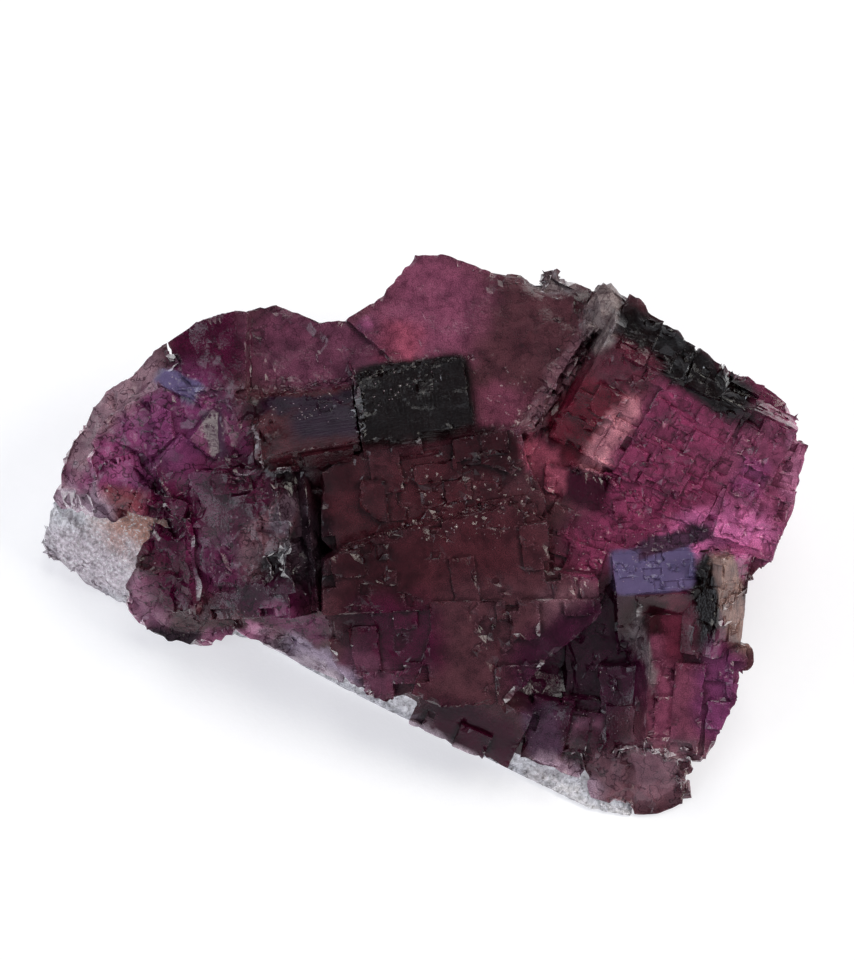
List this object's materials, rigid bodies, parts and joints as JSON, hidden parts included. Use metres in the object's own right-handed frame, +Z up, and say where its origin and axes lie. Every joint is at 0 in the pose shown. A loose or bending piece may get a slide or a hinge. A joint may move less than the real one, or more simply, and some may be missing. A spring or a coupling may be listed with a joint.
{
  "type": "fluorite cube cluster",
  "caption": "Hand specimen of intergrown translucent purple fluorite cubes, thin at the rim and thick in the middle, on a broken colourless base.",
  "frame": {"origin": "middle of the bounding box in X and Y, on the surface the specimen rests on", "axes": "+Z up, +X along the longest extent, the crust of crystals leans towards -Y"},
  "size_m": [0.0926, 0.0642, 0.0323],
  "materials": {
    "purple_fluorite": "translucent, glossy cleavage faces with growth steps",
    "colourless_fluorite": "clear to frosted, granular fracture"
  },
  "bodies": {
    "root": {"purple_cubes": "purple_fluorite", "colourless_base": "colourless_fluorite"}
  },
  "joints": []
}
